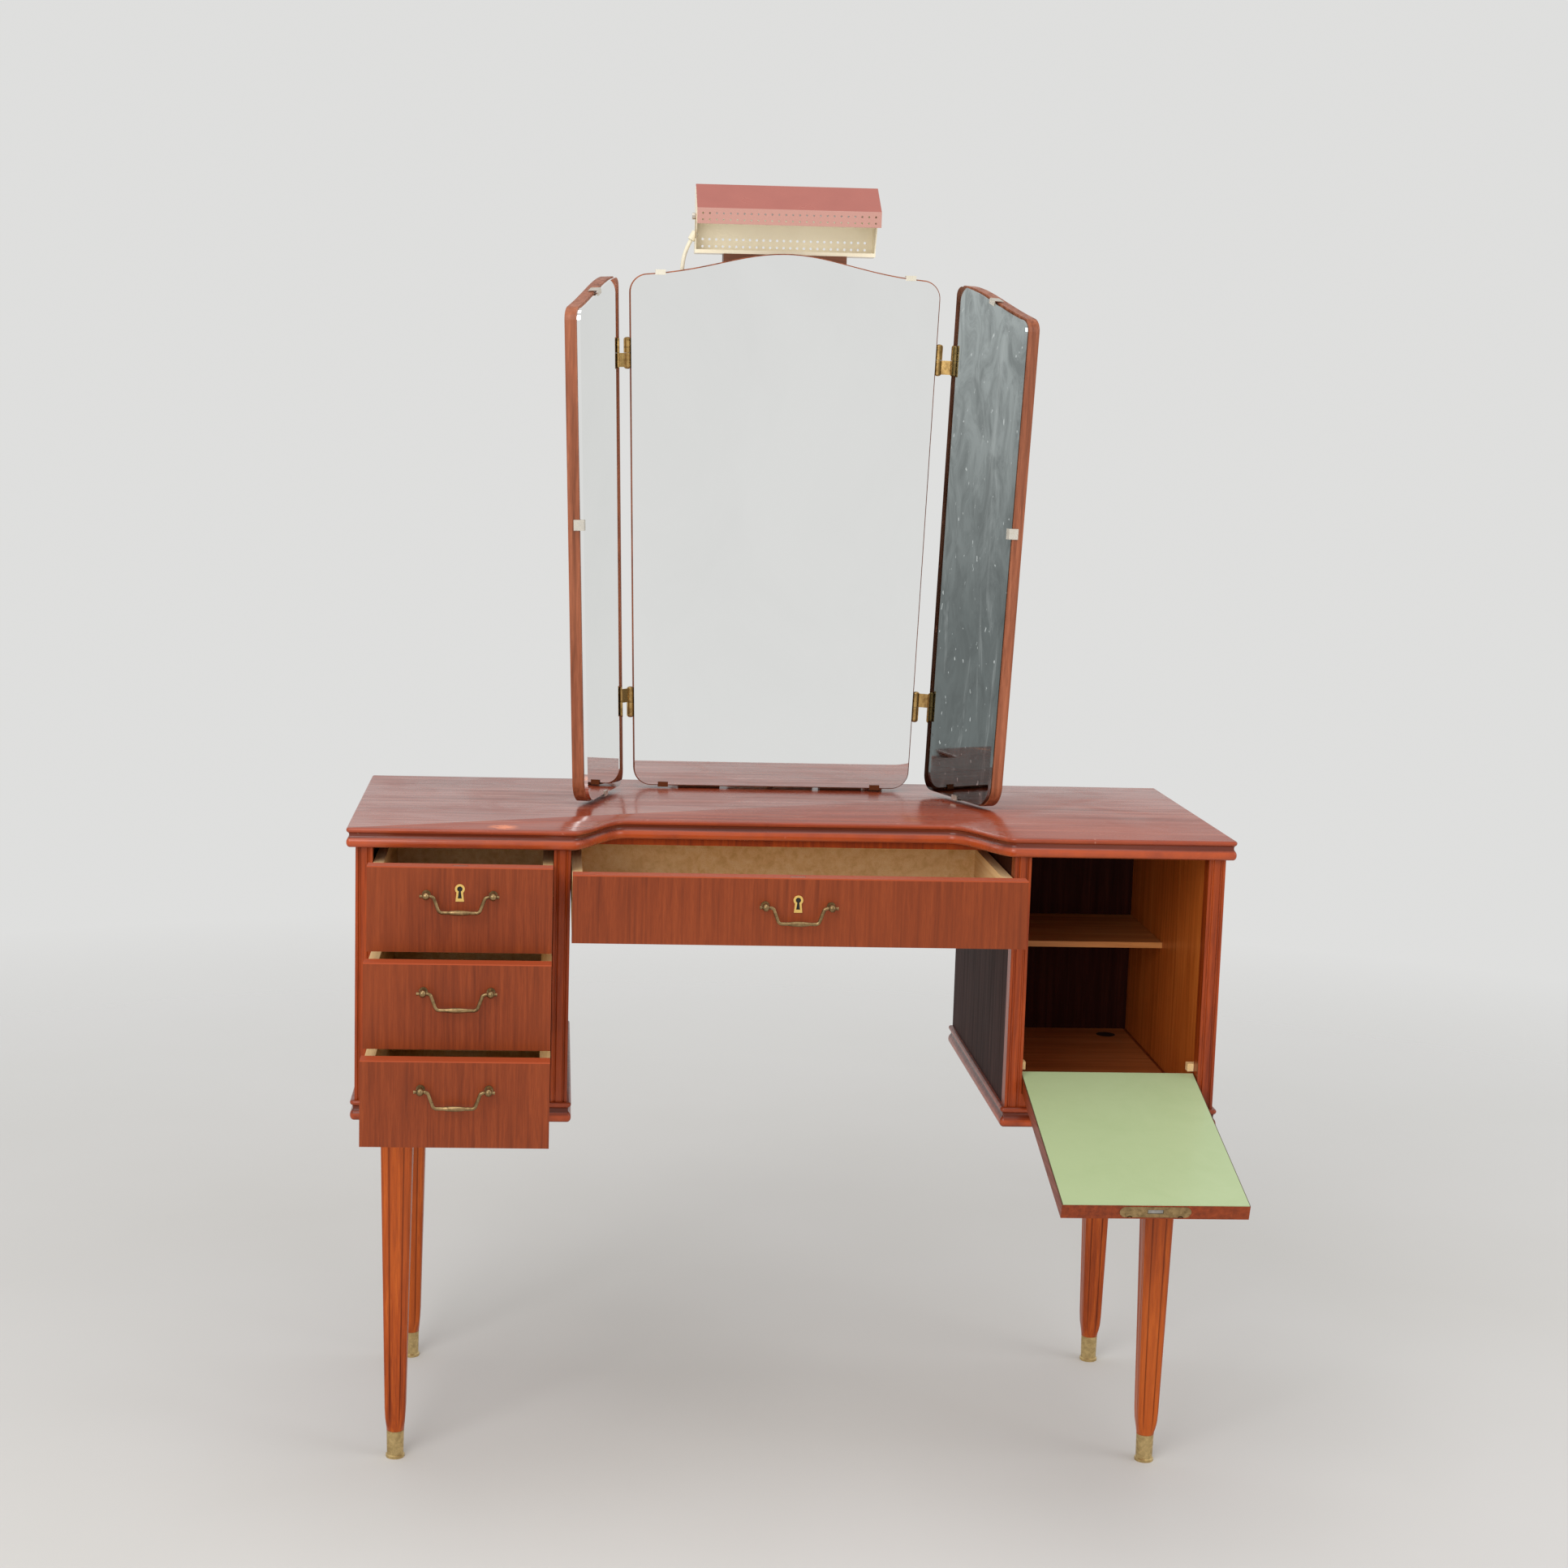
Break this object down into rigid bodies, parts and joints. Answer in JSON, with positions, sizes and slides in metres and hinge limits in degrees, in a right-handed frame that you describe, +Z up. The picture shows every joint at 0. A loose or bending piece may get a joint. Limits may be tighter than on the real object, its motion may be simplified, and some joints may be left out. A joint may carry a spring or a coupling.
{
  "type": "vanity table",
  "caption": "Vanity table on tapered legs with drawers, a fall-front cabinet with a shelf, a folding three-part mirror on double hinges and a strip lamp over it.",
  "frame": {"origin": "middle of the bounding box on the floor, measured without the free mains cord, with drawers, flap and mirror wings as stored", "axes": "+X to the right seen from the front, the front faces -Y, +Z up from the floor"},
  "size_m": [1, 0.6334, 1.493],
  "materials": {
    "top_wood": "lacquered satin",
    "mahogany": "lacquered satin",
    "side_wood": "lacquered satin",
    "drawer_wood": "lacquered satin",
    "mirror_wood": "lacquered satin",
    "block_wood": "stained matt",
    "cabinet_wood": "lacquered satin",
    "birch": "bare matt",
    "brass": "aged",
    "ferrule_brass": "aged",
    "bolt_steel": "brushed",
    "nickel": "plated",
    "mirror_glass": "polished",
    "green_laminate": "satin",
    "cream_metal": "enamelled",
    "pink_metal": "enamelled",
    "lamp_glass": "opal",
    "cream_plastic": "moulded",
    "cream_rubber": "matt"
  },
  "bodies": {
    "table": {"table_top": "top_wood", "base_boards": "mahogany", "left_side_panels": "side_wood", "right_side_panels": "side_wood", "back_panels": "side_wood", "front_posts": "mahogany", "legs": "mahogany", "leg_ferrules": "ferrule_brass", "drawer_runners": "birch", "rails": "mahogany", "shelf": "cabinet_wood", "shelf_pins_and_stops": "birch", "flap_hardware": "brass", "mirror_uprights": "block_wood", "lamp_block": "block_wood", "centre_mirror_back": "mirror_wood", "centre_glass": "mirror_glass", "centre_clips": "nickel", "centre_hinge_leaves": "brass", "lamp_reflector": "cream_metal", "lamp_pivot_screws": "nickel", "lamp_tube": "lamp_glass", "lamp_holders": "cream_plastic", "cord_gland": "cream_rubber", "lamp_cord": "cream_rubber", "cord_hank": "cream_rubber", "mains_plug": "cream_plastic"},
    "flap": {"flap_panel": "mahogany", "flap_laminate": "green_laminate", "flap_lock_plate": "brass"},
    "flap_bolt": {"flap_bolt": "bolt_steel"},
    "lamp_shade": {"lamp_shade": "pink_metal"},
    "bottom_drawer": {"bottom_drawer_front": "drawer_wood", "bottom_drawer_box": "birch", "bottom_drawer_fittings": "brass"},
    "bottom_bail": {"bottom_drawer_bail": "brass"},
    "middle_drawer": {"middle_drawer_front": "drawer_wood", "middle_drawer_box": "birch", "middle_drawer_fittings": "brass"},
    "middle_bail": {"middle_drawer_bail": "brass"},
    "top_drawer": {"top_drawer_front": "drawer_wood", "top_drawer_box": "birch", "top_drawer_fittings": "brass"},
    "top_bail": {"top_drawer_bail": "brass"},
    "top_bolt": {"top_drawer_bolt": "bolt_steel"},
    "centre_drawer": {"centre_drawer_front": "drawer_wood", "centre_drawer_box": "birch", "centre_drawer_fittings": "brass"},
    "centre_bail": {"centre_drawer_bail": "brass"},
    "centre_bolt": {"centre_drawer_bolt": "bolt_steel"},
    "left_link": {"left_hinge_links": "brass"},
    "left_wing": {"left_wing_back": "mirror_wood", "left_wing_glass": "mirror_glass", "left_wing_clips": "nickel", "left_wing_hinge_leaves": "brass"},
    "right_link": {"right_hinge_links": "brass"},
    "right_wing": {"right_wing_back": "mirror_wood", "right_wing_glass": "mirror_glass", "right_wing_clips": "nickel", "right_wing_hinge_leaves": "brass"}
  },
  "joints": [
    {"name": "bottom_drawer_slide", "type": "slide", "parent": "table", "child": "bottom_drawer", "axis": [0, -1, 0], "range_m": [-0.186, 0.064]},
    {"name": "bottom_bail_swing", "type": "hinge", "parent": "bottom_drawer", "child": "bottom_bail", "pos_m": [-0.37, -0.27229, 0.508], "axis": [-1, 0, 0], "range_deg": [0, 95]},
    {"name": "middle_drawer_slide", "type": "slide", "parent": "table", "child": "middle_drawer", "axis": [0, -1, 0], "range_m": [-0.145, 0.105]},
    {"name": "middle_bail_swing", "type": "hinge", "parent": "middle_drawer", "child": "middle_bail", "pos_m": [-0.37, -0.23129, 0.604], "axis": [-1, 0, 0], "range_deg": [0, 95]},
    {"name": "top_drawer_slide", "type": "slide", "parent": "table", "child": "top_drawer", "axis": [0, -1, 0], "range_m": [-0.098, 0.152]},
    {"name": "top_bail_swing", "type": "hinge", "parent": "top_drawer", "child": "top_bail", "pos_m": [-0.37, -0.18429, 0.7], "axis": [-1, 0, 0], "range_deg": [0, 95]},
    {"name": "top_lock_bolt", "type": "slide", "parent": "top_drawer", "child": "top_bolt", "axis": [0, 0, 1], "range_m": [0, 0.008]},
    {"name": "centre_drawer_slide", "type": "slide", "parent": "table", "child": "centre_drawer", "axis": [0, -1, 0], "range_m": [-0.176, 0.025]},
    {"name": "centre_bail_swing", "type": "hinge", "parent": "centre_drawer", "child": "centre_bail", "pos_m": [-0.003, -0.17929, 0.69205], "axis": [-1, 0, 0], "range_deg": [0, 95]},
    {"name": "centre_lock_bolt", "type": "slide", "parent": "centre_drawer", "child": "centre_bolt", "axis": [0, 0, 1], "range_m": [0, 0.008]},
    {"name": "flap_hinge", "type": "hinge", "parent": "table", "child": "flap", "pos_m": [0.37, -0.06454, 0.47], "axis": [-1, 0, 0], "range_deg": [0, 105.9]},
    {"name": "flap_lock_bolt", "type": "slide", "parent": "flap", "child": "flap_bolt", "axis": [0, -0.9617, -0.274], "range_m": [0, 0.008]},
    {"name": "left_link_hinge", "type": "hinge", "parent": "table", "child": "left_link", "pos_m": [-0.18991, 0.25221, 1.289], "axis": [-0.0293, 0, 0.9996], "range_deg": [-43, 47]},
    {"name": "left_wing_hinge", "type": "hinge", "parent": "left_link", "child": "left_wing", "pos_m": [-0.20417, 0.23891, 1.28858], "axis": [-0.0293, 0, 0.9996], "range_deg": [-30, 60]},
    {"name": "right_link_hinge", "type": "hinge", "parent": "table", "child": "right_link", "pos_m": [0.18991, 0.25221, 1.289], "axis": [-0.0293, 0, -0.9996], "range_deg": [-16.5, 73.5]},
    {"name": "right_wing_hinge", "type": "hinge", "parent": "right_link", "child": "right_wing", "pos_m": [0.2086, 0.24667, 1.28845], "axis": [-0.0293, 0, -0.9996], "range_deg": [-52.5, 37.5]},
    {"name": "shade_tilt", "type": "hinge", "parent": "table", "child": "lamp_shade", "pos_m": [0, 0.26171, 1.454], "axis": [-1, 0, 0], "range_deg": [-35, 12]}
  ]
}
